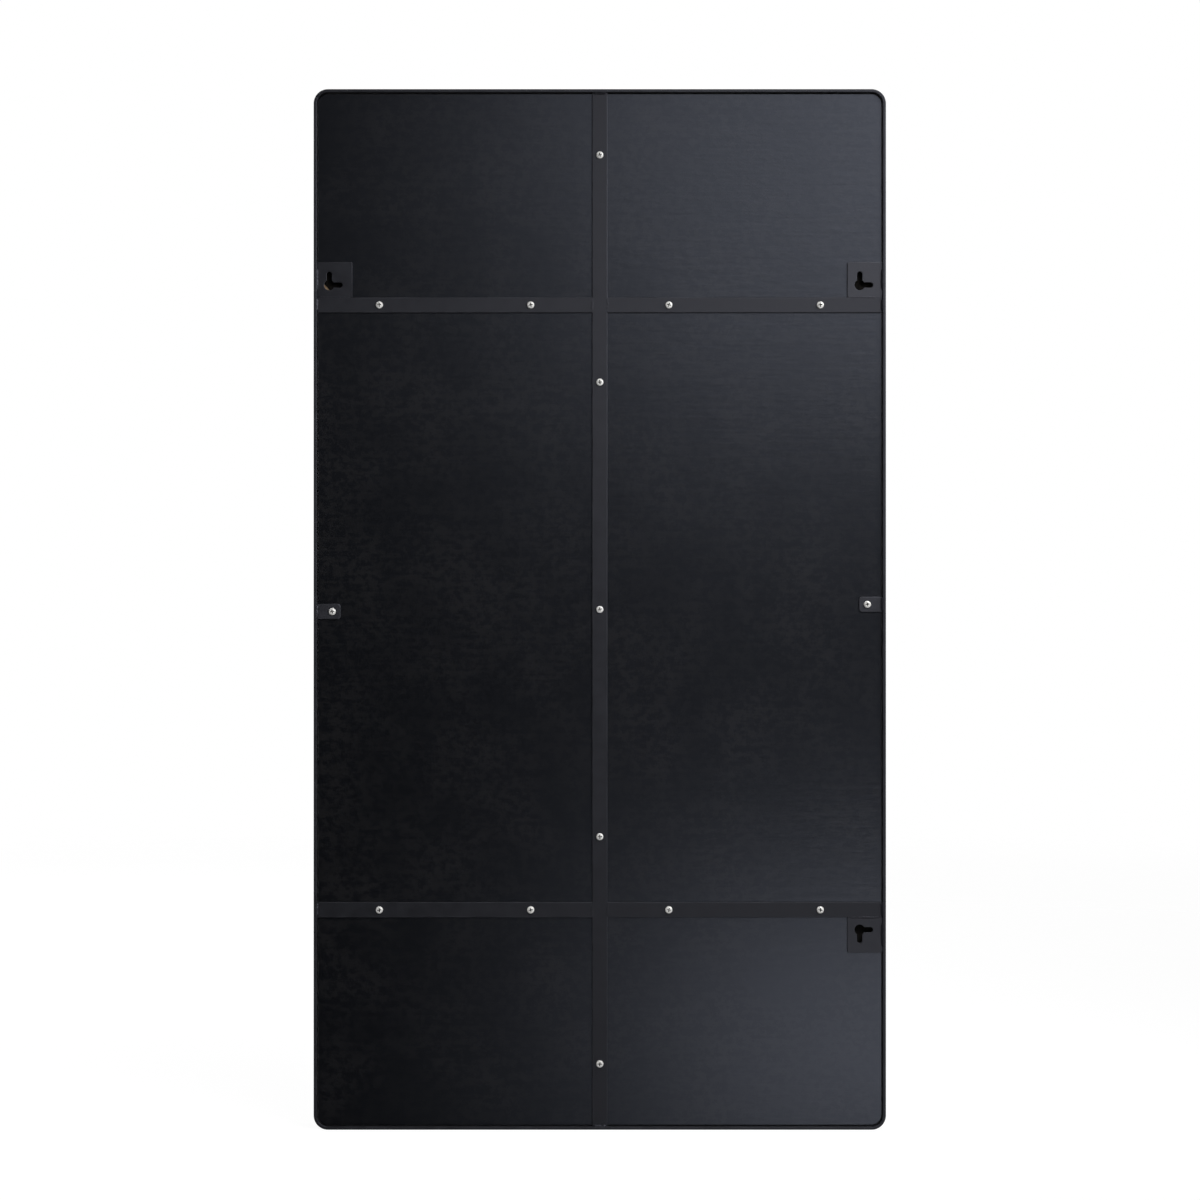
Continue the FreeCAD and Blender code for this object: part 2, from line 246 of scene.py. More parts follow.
def arc(centre, radius, start, end, steps):
    """Points on an arc with both its ends; the angles are in degrees."""
    points = []
    for step in range(steps + 1):
        angle = math.radians(start + (end - start) * step / steps)
        points.append((centre[0] + radius * math.cos(angle), centre[1] + radius * math.sin(angle)))
    return points


def rounded_box(low, high, radii):
    """An anticlockwise outline in X and Z; the radii start at the corner with the highest X and Z."""
    corners = [
        (high.x, high.z, 1, 1),
        (low.x, high.z, -1, 1),
        (low.x, low.z, -1, -1),
        (high.x, low.z, 1, -1),
    ]
    outline = []
    for quarter, ((x, z, side, up), radius) in enumerate(zip(corners, radii)):
        if radius == 0:
            outline.append((x, z))
            continue
        centre = (x - side * radius, z - up * radius)
        outline += arc(centre, radius, 90 * quarter, 90 * quarter + 90, CORNER_STEPS)
    return outline


def circle(centre, radius):
    """A clockwise round outline, as a hole has it."""
    return arc(centre, radius, 360, 360 / HOLE_STEPS, HOLE_STEPS - 1)


def turned_clockwise(loop):
    """The loop in the direction that a hole has."""
    area = sum(a[0] * b[1] - b[0] * a[1] for a, b in zip(loop, loop[1:] + loop[:1]))
    return loop[::-1] if area > 0 else loop


def inset(loop, distance):
    """A loop moved into the material, which lies on its left."""
    points = [Vector(point) for point in loop]
    moved = []
    for index, point in enumerate(points):
        before = (point - points[index - 1]).normalized()
        after = (points[(index + 1) % len(points)] - point).normalized()
        bisector = Vector((-before.y - after.y, before.x + after.x))
        moved.append(point + bisector * (2 * distance / bisector.length_squared))
    return moved


def new_mesh():
    """An empty mesh whose points carry a wear value, from 0 on the flats to 1 on rubbed edges."""
    mesh = bmesh.new()
    mesh.verts.layers.float.new("wear")
    return mesh


def add_ring(mesh, points, y, wear=0.0):
    """Points at one Y, joined later to other rings."""
    layer = mesh.verts.layers.float["wear"]
    ring = [mesh.verts.new((point[0], y, point[1])) for point in points]
    for vert in ring:
        vert[layer] = wear
    return ring


def bridge(mesh, first, second):
    """Faces all round between two rings of as many points."""
    faces = []
    for index in range(len(first)):
        after = (index + 1) % len(first)
        faces.append(mesh.faces.new((first[index], first[after], second[after], second[index])))
    return faces


def tube(mesh, rings):
    """Faces between rings in a row, and one across each end."""
    for first, second in zip(rings, rings[1:]):
        bridge(mesh, first, second)
    mesh.faces.new(rings[0])
    mesh.faces.new(rings[-1])


def fill(mesh, rings):
    """A flat face inside the first ring and outside the others."""
    verts = [vert for ring in rings for vert in ring]
    loops = [[Vector((vert.co.x, vert.co.z, 0)) for vert in ring] for ring in rings]
    for corners in geometry.tessellate_polygon(loops):
        mesh.faces.new([verts[corner] for corner in corners])


def eased_levels(back, front, ease, spread):
    """(Y, inset, wear) of a plate's rings, back to front: both edges rounded, the back one worn."""
    turns = [math.pi / 2 * step / EASE_STEPS for step in range(EASE_STEPS + 1)]
    levels = [(back, ease + spread, 0.0)]
    levels += [(back - ease * (1 - math.cos(turn)), ease * (1 - math.sin(turn)), 1.0) for turn in turns]
    levels.append(((back + front) / 2, 0.0, 0.0))
    levels += [(front + ease * (1 - math.sin(turn)), ease * (1 - math.cos(turn)), 0.0) for turn in turns]
    return levels


def plate(levels, outline, holes=(), pockets=()):
    """A closed plate with holes right through it, and pockets given as (loop, floor Y) in its back."""
    mesh = new_mesh()
    rings = []
    for y, gap, wear in levels:
        rings.append([add_ring(mesh, inset(loop, gap), y, wear) for loop in (outline, *holes)])
    for upper, lower in zip(rings, rings[1:]):
        for first, second in zip(upper, lower):
            bridge(mesh, first, second)
    mouths = [add_ring(mesh, loop, levels[0][0]) for loop, _ in pockets]
    fill(mesh, rings[0] + mouths)
    fill(mesh, rings[-1])
    for mouth, (loop, floor_y) in zip(mouths, pockets):
        floor = add_ring(mesh, loop, floor_y)
        walls = bridge(mesh, mouth, floor)
        for face in walls + [mesh.faces.new(floor)]:
            face.material_index = 1
    return mesh


def new_object(mesh, name):
    """An object in the scene from a mesh, its faces turned outwards."""
    bmesh.ops.recalc_face_normals(mesh, faces=mesh.faces)
    data = bpy.data.meshes.new(name)
    mesh.to_mesh(data)
    mesh.free()
    made = bpy.data.objects.new(name, data)
    bpy.context.scene.collection.objects.link(made)
    return made


def dress(mesh, node, slot, *materials):
    """A finished piece that stands for a CAD node and rides on the part."""
    piece = new_object(mesh, node + "_piece")
    piece.data.shade_smooth()
    piece.data.set_sharp_from_angle(angle=SMOOTH_ANGLE)
    for material in materials:
        piece.data.materials.append(material)
    normals = piece.modifiers.new("weighted_normals", "WEIGHTED_NORMAL")
    normals.keep_sharp = True
    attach(piece, "root")
    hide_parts(node)
    return piece


def solid_boxes(node):
    """The lowest and highest corner of each separate solid of a CAD node, in order along X and Z."""
    mesh = bmesh.new()
    mesh.from_mesh(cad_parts[node].data)
    bmesh.ops.remove_doubles(mesh, verts=mesh.verts, dist=MERGE_DISTANCE)
    boxes = []
    waiting = set(mesh.verts)
    while waiting:
        group = [waiting.pop()]
        for vert in group:
            linked = {edge.other_vert(vert) for edge in vert.link_edges} & waiting
            waiting -= linked
            group.extend(linked)
        low = Vector([min(vert.co[axis] for vert in group) for axis in range(3)])
        high = Vector([max(vert.co[axis] for vert in group) for axis in range(3)])
        boxes.append((low, high))
    mesh.free()
    return sorted(boxes, key=lambda box: (round(box[0].x, SORT_DIGITS), round(box[0].z, SORT_DIGITS)))


# Materials

def add_node(tree, kind, inputs=None, **settings):
    """A shader node with its settings, and its inputs set to values or linked to sockets."""
    node = tree.nodes.new(kind)
    for key, value in settings.items():
        setattr(node, key, value)
    for key, value in (inputs or {}).items():
        if isinstance(value, bpy.types.NodeSocket):
            tree.links.new(value, node.inputs[key])
        else:
            node.inputs[key].default_value = value
    return node


def grey(level, tint=(1.0, 1.0, 1.0)):
    """A colour from a linear grey level and a tint."""
    return tuple(level * share for share in tint) + (1.0,)


def ramp(tree, factor, stops):
    """A colour ramp with (position, colour) stops."""
    node = add_node(tree, "ShaderNodeValToRGB", {"Fac": factor})
    elements = node.color_ramp.elements
    for element, (position, colour) in zip(elements, (stops[0], stops[-1])):
        element.position = position
        element.color = colour
    for position, colour in stops[1:-1]:
        elements.new(position).color = colour
    return node.outputs["Color"]


def remap(tree, value, low, high, to_low, to_high):
    """A value moved from one range to another and held inside it."""
    inputs = {"Value": value, "From Min": low, "From Max": high, "To Min": to_low, "To Max": to_high}
    return add_node(tree, "ShaderNodeMapRange", inputs).outputs["Result"]


def vary(tree, value, low, high):
    """A noise moved from its usual range to another."""
    return remap(tree, value, NOISE_LOW, NOISE_HIGH, low, high)


def shades(tree, value, dark, pale, low=NOISE_LOW, high=NOISE_HIGH):
    """A colour from dark to pale as a value rises from low to high."""
    return ramp(tree, value, [(low, dark), (high, pale)])


def scalar_math(tree, operation, *values):
    """The result of a sum on numbers or sockets."""
    node = add_node(tree, "ShaderNodeMath", dict(enumerate(values)), operation=operation)
    return node.outputs["Value"]


def vector_math(tree, operation, *values):
    """The outputs of a sum on vectors or sockets."""
    return add_node(tree, "ShaderNodeVectorMath", dict(enumerate(values)), operation=operation).outputs


def speckle(tree, scale, stretch=(1.0, 1.0, 1.0), detail=3.0, roughness=0.5):
    """Noise in object space, its grain about 1 / scale across and drawn out where stretch is under 1."""
    place = add_node(tree, "ShaderNodeTexCoord").outputs["Object"]
    drawn = add_node(tree, "ShaderNodeMapping", {"Vector": place, "Scale": stretch}).outputs["Vector"]
    inputs = {"Vector": drawn, "Scale": scale, "Detail": detail, "Roughness": roughness}
    return add_node(tree, "ShaderNodeTexNoise", inputs).outputs["Fac"]


def bump(tree, height, distance, strength=1.0, under=None):
    """A bump from a height, over another bump if one is given."""
    inputs = {"Height": height, "Distance": distance, "Strength": strength}
    if under is not None:
        inputs["Normal"] = under
    return add_node(tree, "ShaderNodeBump", inputs).outputs["Normal"]


def blend_colours(tree, factor, first, second):
    """Two colours mixed by a factor. The node has several sockets of one name, so they go by number."""
    node = add_node(tree, "ShaderNodeMix", {0: factor, 6: first, 7: second}, data_type="RGBA")
    return node.outputs[2]


def new_material(name, **shared):
    """A material, its node tree and its shader, with the values that are the same all over it."""
    material = bpy.data.materials.new(name)
    material.use_nodes = True
    shader = material.node_tree.nodes["Principled BSDF"]
    for key, value in shared.items():
        shader.inputs[key.replace("_", " ")].default_value = value
    return material, material.node_tree, shader


def connect(tree, shader, **sockets):
    """Links to a shader's inputs."""
    for key, socket in sockets.items():
        tree.links.new(socket, shader.inputs[key.replace("_", " ")])


def powder_coat(name, level=COAT_LEVEL, worn_level=COAT_WORN_LEVEL, roughness=COAT_ROUGHNESS,
                gloss=COAT_GLOSS, peel=COAT_PEEL):
    """Black powder coat: fine orange peel, faint mottling, and edges rubbed a little lighter."""
    shared = {"Specular_IOR_Level": gloss, "Specular_Tint": grey(1.0, COAT_TINT)}
    material, tree, shader = new_material(name, **shared)
    mottle = speckle(tree, scale=90.0, detail=5.0)
    dark = grey(level * (1 - COAT_MOTTLE), COAT_TINT)
    pale = grey(level * (1 + COAT_MOTTLE), COAT_TINT)
    colour = shades(tree, mottle, dark, pale)
    wear = add_node(tree, "ShaderNodeAttribute", attribute_name="wear").outputs["Fac"]
    patches = remap(tree, speckle(tree, scale=45.0, detail=4.0), *RUB_PATCHES, LEAST_RUB, 1.0)
    rubbed = scalar_math(tree, "MULTIPLY", wear, patches)
    colour = blend_colours(tree, rubbed, colour, grey(worn_level, COAT_TINT))
    grain = speckle(tree, scale=700.0, detail=2.0)
    rough = vary(tree, mottle, roughness - COAT_ROUGHNESS_SPREAD, roughness + COAT_ROUGHNESS_SPREAD)
    broad_peel = bump(tree, speckle(tree, scale=160.0), peel * BROAD_PEEL_SHARE, strength=0.5)
    normal = bump(tree, grain, peel, under=broad_peel)
    connect(tree, shader, Base_Color=colour, Roughness=rough, Normal=normal)
    return material


def board_facing():
    """Satin black facing: fine dust in soft clouds over level rolling lines and faint rubs."""
    shared = {"Specular_IOR_Level": FACING_GLOSS, "Specular_Tint": grey(1.0, FACING_TINT)}
    material, tree, shader = new_material("board_facing", **shared)
    clouds = speckle(tree, scale=13.0, detail=4.0, roughness=0.55)
    grain = speckle(tree, scale=150.0, stretch=(0.85, 1.0, 1.0), detail=3.0, roughness=0.85)
    lines = speckle(tree, scale=330.0, stretch=(0.06, 1.0, 1.0), detail=2.0)
    rubs = speckle(tree, scale=130.0, stretch=(0.4, 1.0, 1.0), detail=3.0, roughness=0.7)
    streaks = scalar_math(tree, "MULTIPLY_ADD", lines, DUST_LINE_SHARE, grain)
    thickness = vary(tree, clouds, 0.2, 1.25)
    specks = remap(tree, streaks, *DUST_RANGE, 0.0, 1.0)
    dust = scalar_math(tree, "MULTIPLY", specks, thickness)
    clean = grey(FACING_LEVEL, DUST_TINT)
    dusty = grey(DUST_LEVEL, DUST_TINT)
    colour = shades(tree, dust, clean, dusty, low=0.0, high=1.0)
    rough = vary(tree, clouds, 0.31, 0.32)
    normal = bump(tree, lines, LINE_HEIGHT, under=bump(tree, rubs, RUB_HEIGHT))
    connect(tree, shader, Base_Color=colour, Roughness=rough, Normal=normal)
    return material


def raw_fibreboard(lit_place):
    """The board's routed core: near-black painted shade, and bare brown as painted light by one keyhole.
    """
    material, tree, shader = new_material("raw_fibreboard", Roughness=0.85, Specular_IOR_Level=0.2)
    fibres = speckle(tree, scale=500.0, stretch=(1.0, 0.4, 0.5), detail=5.0)
    bare = shades(tree, fibres, *BARE_CORE)
    # Near-black painted shade over the core in every pocket
    painted_shade = shades(tree, fibres, *PAINTED_SHADE_CORE, low=0.35, high=0.75)
    place = add_node(tree, "ShaderNodeTexCoord").outputs["Object"]
    offset = vector_math(tree, "SUBTRACT", place, (lit_place[0], 0.0, lit_place[1]))["Vector"]
    level = vector_math(tree, "MULTIPLY", offset, (1.0, 0.0, 1.0))["Vector"]
    distance = vector_math(tree, "LENGTH", level)["Value"]
    # Painted light: bare brown only on the entry's lower left, where the key lamp's light falls through
    # it
    reach = vector_math(tree, "DOT_PRODUCT", level, LIT_SIDE)["Value"]
    ragged = scalar_math(tree, "MULTIPLY_ADD", fibres, LIT_RAGGED, reach)
    side = remap(tree, ragged, LIT_FROM, LIT_FROM + LIT_FADE, 0.0, 1.0)
    near = remap(tree, distance, *LIT_REACH, 1.0, 0.0)
    colour = blend_colours(tree, scalar_math(tree, "MULTIPLY", side, near), painted_shade, bare)
    connect(tree, shader, Base_Color=colour, Normal=bump(tree, fibres, distance=0.25 * MM))
    return material


def zinc_plate(name, dull, bright):
    """Zinc on the screws: slightly cloudy, with darker spots; at dark levels, painted shade in recesses.
    """
    material, tree, shader = new_material(name, Metallic=ZINC_METALLIC)
    cloud = speckle(tree, scale=500.0, detail=4.0)
    colour = shades(tree, cloud, grey(dull, ZINC_TINT), grey(bright, ZINC_TINT), high=0.65)
    rough = vary(tree, cloud, 0.32, 0.44)
    normal = bump(tree, cloud, distance=0.03 * MM, strength=0.5)
    connect(tree, shader, Base_Color=colour, Roughness=rough, Normal=normal)
    return material


def silvered_glass():
    """The mirror's front: almost no roughness, with the faintest unevenness of float glass."""
    material, tree, shader = new_material("silvered_glass", Metallic=1.0)
    drift = speckle(tree, scale=6.0, detail=2.0)
    colour = shades(tree, drift, grey(0.87, SILVER_TINT), grey(0.9, SILVER_TINT))
    connect(tree, shader, Base_Color=colour, Roughness=vary(tree, drift, 0.004, 0.012))
    return material


def glass_edge():
    """The ground edge of the glass, green in depth."""
    material, tree, shader = new_material("glass_edge", Specular_IOR_Level=0.5)
    streaks = speckle(tree, scale=300.0, stretch=(1.0, 0.1, 1.0), detail=4.0)
    colour = shades(tree, streaks, *GLASS_GREEN)
    connect(tree, shader, Base_Color=colour, Roughness=vary(tree, streaks, 0.18, 0.32))
    return material


def foam_tape():
    """Closed-cell foam of the mounting tape."""
    material, tree, shader = new_material("foam_tape", Roughness=0.8)
    cells = add_node(tree, "ShaderNodeTexVoronoi", {"Scale": 1400.0}).outputs["Distance"]
    colour = shades(tree, cells, grey(0.42), grey(0.62, FOAM_TINT), low=0.1, high=0.6)
    normal = bump(tree, cells, distance=0.2 * MM, strength=0.6)
    connect(tree, shader, Base_Color=colour, Normal=normal)
    return material


def film_sheet():
    """Thin plastic film with faint stretch lines."""
    material, tree, shader = new_material("film_sheet", Specular_IOR_Level=0.45)
    lines = speckle(tree, scale=120.0, stretch=(1.0, 1.0, 0.05), detail=3.0)
    colour = shades(tree, lines, *FILM_GREY)
    connect(tree, shader, Base_Color=colour, Roughness=vary(tree, lines, 0.3, 0.45))
    return material


# Pieces

def band_section(back, front):
    """(Inset, Y, wear) all round the band's section, from its outer wall over its back edge."""
    near = BAND_EASE
    far = BAND_THICKNESS - BAND_EASE
    middle = BAND_THICKNESS / 2
    worn_to = BAND_EASE + WEAR_SPREAD
    inner_wall = [(BAND_THICKNESS, back - worn_to, 0.0), (BAND_THICKNESS, front + worn_to, 0.0)]
    outer_wall = [(0.0, front + worn_to, 0.0), (0.0, back - worn_to, 0.0)]
    turns = [
        ((near, back - near), 180, [(middle, back, RIM_WEAR)]),
        ((far, back - near), 90, inner_wall),
        ((far, front + near), 0, [(middle, front, RIM_WEAR)]),
        ((near, front + near), -90, outer_wall),
    ]
    section = []
    for centre, start, flat in turns:
        section += [(gap, y, 1.0) for gap, y in arc(centre, BAND_EASE, start, start - 90, EASE_STEPS)]
        section += flat
    return section


def make_band(material):
    """The steel band: its eased section carried round the four corners."""
    low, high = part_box("frame_band")
    mesh = new_mesh()
    rings = []
    for gap, y, wear in band_section(high.y, low.y):
        step_in = Vector((gap, 0, gap))
        outline = rounded_box(low + step_in, high - step_in, [BAND_CORNER_RADIUS - gap] * 4)
        rings.append(add_ring(mesh, outline, y, wear))
    for first, second in zip(rings, rings[1:] + rings[:1]):
        bridge(mesh, first, second)
    return dress(mesh, "frame_band", "frame_coat", material)


def centres_on(node):
    """(X, Z) of each screw in a CAD group."""
    return [((low.x + high.x) / 2, (low.z + high.z) / 2) for low, high in solid_boxes(node)]


def make_flat(node, radii, ease, spread, holes, material):
    """A bar, tab or hanger plate: flat steel with eased edges and its holes."""
    low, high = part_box(node)
    levels = eased_levels(high.y, low.y, ease, spread)
    mesh = plate(levels, rounded_box(low, high, radii), holes)
    return dress(mesh, node, "bar_coat", material)


def make_bars(screws, bar_coat, tab_coat):
    """The vertical bar, the four half bars and the two side tabs."""
    square = [0, 0, 0, 0]
    rounded_ends = {
        "left_side_tab": [0, TAB_CORNER_RADIUS, TAB_CORNER_RADIUS, 0],
        "right_side_tab": [TAB_CORNER_RADIUS, 0, 0, TAB_CORNER_RADIUS],
    }
    for node in ("vertical_crossbar", *HALF_BARS, *rounded_ends):
        low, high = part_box(node)
        here = [(x, z) for x, z in screws if low.x < x < high.x and low.z < z < high.z]
        holes = [circle(centre, BAR_HOLE_RADIUS) for centre in here]
        coat = tab_coat if node in rounded_ends else bar_coat
        make_flat(node, rounded_ends.get(node, square), BAR_EASE, WEAR_SPREAD, holes, coat)


def keyhole_centre(node, away):
    """(X, Z) of a keyhole's entry: set in from the plate's left edge and from the bar that it is on."""
    low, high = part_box(node)
    seat = low.z if away == ABOVE else high.z
    return high.x - KEYHOLE_INSET, seat + away * KEYHOLE_INSET


def keyhole(centre, away):
    """The outline of an entry hole with one slot to the right and one away from the bar."""
    entry = KEYHOLE_ENTRY_RADIUS
    slot = KEYHOLE_SLOT_RADIUS
    meet = math.degrees(math.asin(slot / entry))
    outline = arc((KEYHOLE_SLOT_TRAVEL, 0), slot, -90, 90, CORNER_STEPS)
    outline += arc((0, 0), entry, meet, 90 - meet, KEYHOLE_CORNER_STEPS)
    outline += arc((0, KEYHOLE_SLOT_TRAVEL), slot, 0, 180, CORNER_STEPS)
    outline += arc((0, 0), entry, 90 + meet, 360 - meet, HOLE_STEPS)
    placed = [(centre[0] + RIGHT * along, centre[1] + away * up) for along, up in outline]
    return turned_clockwise(placed)


def pocket(centre, away):
    """The outline of the routed pocket behind a keyhole."""
    near = Vector((centre[0] - RIGHT * POCKET_EDGE, 0, centre[1] - away * POCKET_EDGE))
    far = near + Vector((RIGHT * POCKET_SIDE, 0, away * POCKET_SIDE))
    low = Vector(map(min, near, far))
    high = Vector(map(max, near, far))
    return turned_clockwise(rounded_box(low, high, [POCKET_CORNER_RADIUS] * 4))


def make_hangers(material):
    """The three keyhole plates."""
    corner = HANGER_CORNER_RADIUS
    radii = {
        "upper_left_hanger": [0, corner, 0, 0],
        "upper_right_hanger": [corner, 0, 0, 0],
        "lower_right_hanger": [0, 0, 0, corner],
    }
    for node, away in HANGERS.items():
        hole = keyhole(keyhole_centre(node, away), away)
        make_flat(node, radii[node], HANGER_EASE, HANGER_WEAR_SPREAD, [hole], material)


def sheet_outline(low, high):
    """The outline of a sheet inside the band, its corners an even gap from the band's."""
    radius = BAND_CORNER_RADIUS - (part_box("frame_band")[1].x - high.x)
    return rounded_box(low, high, [radius] * 4)


def make_board(screws, facing, core):
    """The backing board, with a pocket behind each keyhole and a pilot hole under each screw."""
    low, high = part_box("backing_board")
    pilot_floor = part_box("vertical_crossbar_screws")[0].y - PILOT_TIP_CLEARANCE
    pockets = [(circle(centre, PILOT_RADIUS), pilot_floor) for centre in screws]
    for node, away in HANGERS.items():
        pockets.append((pocket(keyhole_centre(node, away), away), high.y - POCKET_DEPTH))
    levels = eased_levels(high.y, low.y, BOARD_EASE, WEAR_SPREAD)
    mesh = plate(levels, sheet_outline(low, high), pockets=pockets)
    return dress(mesh, "backing_board", "board_face", facing, core)


def make_glass(silver, edge):
    """The mirror glass, with its ground arris round the front."""
    low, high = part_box("mirror_glass")
    levels = [(high.y, 0.0, 0.0), (low.y + GLASS_ARRIS, 0.0, 0.0), (low.y, GLASS_ARRIS, 0.0)]
    mesh = plate(levels, sheet_outline(low, high))
    bmesh.ops.recalc_face_normals(mesh, faces=mesh.faces)
    for face in mesh.faces:
        face.material_index = 0 if face.normal.y < FRONT_NORMAL_Y else 1
    return dress(mesh, "mirror_glass", "silvered_glass", silver, edge)


def head_profile():
    """(Radius, height) over a pan head, from its lower rim to its crown."""
    rise = SCREW_HEAD_HEIGHT - SCREW_HEAD_SIDE
    profile = [(SCREW_HEAD_RADIUS - SCREW_RIM_EASE, 0.0), (SCREW_HEAD_RADIUS, SCREW_RIM_EASE)]
    for step in range(SCREW_DOME_STEPS):
        angle = math.pi / 2 * step / SCREW_DOME_STEPS
        radius = SCREW_HEAD_RADIUS * math.cos(angle) ** SCREW_DOME_FLATNESS
        profile.append((radius, SCREW_HEAD_SIDE + rise * math.sin(angle)))
    return profile


def cross(reach, half_arm):
    """The twelve corners of a cross."""
    points = []
    for turn in range(4):
        rotation = Matrix.Rotation(math.pi / 2 * turn, 2)
        arm = ((reach, -half_arm), (reach, half_arm), (half_arm, half_arm))
        points += [rotation @ Vector(corner) for corner in arm]
    return points


def screw_mesh(shank_length):
    """One pan head screw with its cross recess, the underside of its head at Y 0."""
    mesh = new_mesh()
    outline = [(SCREW_SHANK_RADIUS, -shank_length), (SCREW_SHANK_RADIUS, 0.0)] + head_profile()
    rings = []
    for radius, height in outline:
        points = arc((0, 0), radius, 0, 360 - 360 / SCREW_SEGMENTS, SCREW_SEGMENTS - 1)
        rings.append(add_ring(mesh, points, height))
    tube(mesh, rings)
    body = new_object(mesh, "screw_body")
    cutter = new_mesh()
    floor_height = SCREW_HEAD_HEIGHT - RECESS_DEPTH
    floor = add_ring(cutter, cross(RECESS_FLOOR_REACH, RECESS_FLOOR_HALF_ARM), floor_height)
    mouth = add_ring(cutter, cross(RECESS_REACH, RECESS_HALF_ARM), SCREW_HEAD_HEIGHT)
    above = add_ring(cutter, cross(RECESS_REACH, RECESS_HALF_ARM), SCREW_HEAD_HEIGHT + RECESS_DEPTH)
    tube(cutter, [floor, mouth, above])
    recess = new_object(cutter, "screw_recess")
    cut = body.modifiers.new("recess", "BOOLEAN")
    cut.object = recess
    cut.solver = "EXACT"
    data = bpy.data.meshes.new_from_object(body.evaluated_get(bpy.context.evaluated_depsgraph_get()))
    bpy.data.objects.remove(body)
    bpy.data.objects.remove(recess)
    # Faces that reach the recess floor take the second material, painted dark as shade
    for face in data.polygons:
        depths = [abs(data.vertices[index].co.y - floor_height) for index in face.vertices]
        face.material_index = int(min(depths) < MERGE_DISTANCE)
    return data


def make_screws(node, plated, recess_shade):
    """A group of screws, each recess a little off upright, as its driver left it."""
    boxes = solid_boxes(node)
    seat = boxes[0][1].y - SCREW_HEAD_HEIGHT
    data = screw_mesh(seat - boxes[0][0].y)
    mesh = new_mesh()
    for low, high in boxes:
        before = len(mesh.verts)
        mesh.from_mesh(data)
        mesh.verts.ensure_lookup_table()
        turn = Matrix.Rotation(generator.uniform(-RECESS_TURN, RECESS_TURN), 4, "Y")
        place = Matrix.Translation(((low.x + high.x) / 2, seat, (low.z + high.z) / 2))
        bmesh.ops.transform(mesh, matrix=place @ turn, verts=mesh.verts[before:])
    bpy.data.meshes.remove(data)
    return dress(mesh, node, "zinc", plated, recess_shade)


def add_bead(mesh, start, along, across, length, leg):
    """A fillet weld: a quarter circle swept along a corner, rippled and drawn in at both ends."""
    stations = round(length / BEAD_STATION)
    phase = generator.uniform(0, 2 * math.pi)
    up = Vector((0, 1, 0))
    rings = []
    for station in range(stations + 1):
        share = station / stations
        swell = max(1 - abs(2 * share - 1) ** BEAD_END_POWER, BEAD_END_SIZE) ** 0.5
        centre = start + along * (length * share)
        ring = [mesh.verts.new(centre)]
        for step in range(BEAD_ARC_STEPS + 1):
            angle = math.pi / 2 * step / BEAD_ARC_STEPS
            crescent = math.sin(math.pi * step / BEAD_ARC_STEPS)
            wave = 2 * math.pi * share * length / RIPPLE_PITCH + phase
            ripple = math.cos(wave + RIPPLE_BOW * crescent)
            lump = noise.noise((centre + up * angle * MM) / BEAD_LUMP_SIZE)
            dip = RIPPLE_HEIGHT * (0.5 + 0.5 * ripple)
            slump = BEAD_UNEVENNESS * (0.5 + 0.5 * lump)
            size = swell * (1 - dip - slump)
            offset = across * math.cos(angle) + up * math.sin(angle)
            ring.append(mesh.verts.new(centre + offset * (leg * size)))
        rings.append(ring)
    tube(mesh, rings)


def add_seam(mesh, start, along, across, length, half_width, height):
    """A ground seam: a low uneven ridge that sinks into the flats at its sides and ends."""
    stations = round(length / BEAD_STATION)
    up = Vector((0, 1, 0))
    rings = []
    for station in range(stations + 1):
        share = station / stations
        swell = max(math.sin(math.pi * share), 0.0) ** SEAM_END_POWER
        centre = start + along * (length * share)
        ring = []
        for step in range(SEAM_STEPS + 1):
            reach = 2 * step / SEAM_STEPS - 1
            place = centre + across * (half_width * reach)
            lump = 1 + SEAM_UNEVENNESS * noise.noise(place / BEAD_LUMP_SIZE)
            rise = swell * lump * (0.5 + 0.5 * math.cos(math.pi * reach))
            ring.append(mesh.verts.new(place + up * ((height + SEAM_SINK) * rise - SEAM_SINK)))
        for side in (1, -1):
            ring.append(mesh.verts.new(centre + across * (half_width * side) - up * (2 * SEAM_SINK)))
        rings.append(ring)
    tube(mesh, rings)


def make_welds(material):
    """The fillet welds on the band, and the low ground seams between the plates and bars."""
    mesh = new_mesh()
    across_x = Vector((1, 0, 0))
    up_z = Vector((0, 0, 1))
    for low, high in solid_boxes("weld_beads"):
        size = high - low
        across_band = size.x > size.z
        middle = (low + high) / 2
        side = math.copysign(1, middle.z if across_band else middle.x)
        along = across_x if across_band else up_z
        inward = (up_z if across_band else across_x) * -side
        corner = Vector((low.x if side < 0 else high.x, low.y, low.z))
        if across_band:
            corner = Vector((low.x, low.y, low.z if side < 0 else high.z))
        add_bead(mesh, corner, along, inward, max(size.x, size.z), size.y)
    for node, away in HANGERS.items():
        low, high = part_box(node)
        start = Vector((low.x + HANGER_SEAM_END, high.y, low.z if away == ABOVE else high.z))
        length = high.x - low.x - 2 * HANGER_SEAM_END
        add_seam(mesh, start, across_x, up_z, length, HANGER_SEAM_HALF_WIDTH, HANGER_SEAM_HEIGHTS[node])
    for node in HALF_BARS:
        low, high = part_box(node)
        start = Vector((min(low.x, high.x, key=abs), high.y, low.z + CROSSING_SEAM_END))
        length = high.z - low.z - 2 * CROSSING_SEAM_END
        add_seam(mesh, start, up_z, across_x, length, CROSSING_SEAM_HALF_WIDTH, CROSSING_SEAM_HEIGHT)
    return dress(mesh, "weld_beads", "weld_coat", material)


def paint(node, material):
    """A finish on a CAD node that keeps its own shape."""
    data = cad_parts[node].data
    data.materials.clear()
    data.materials.append(material)


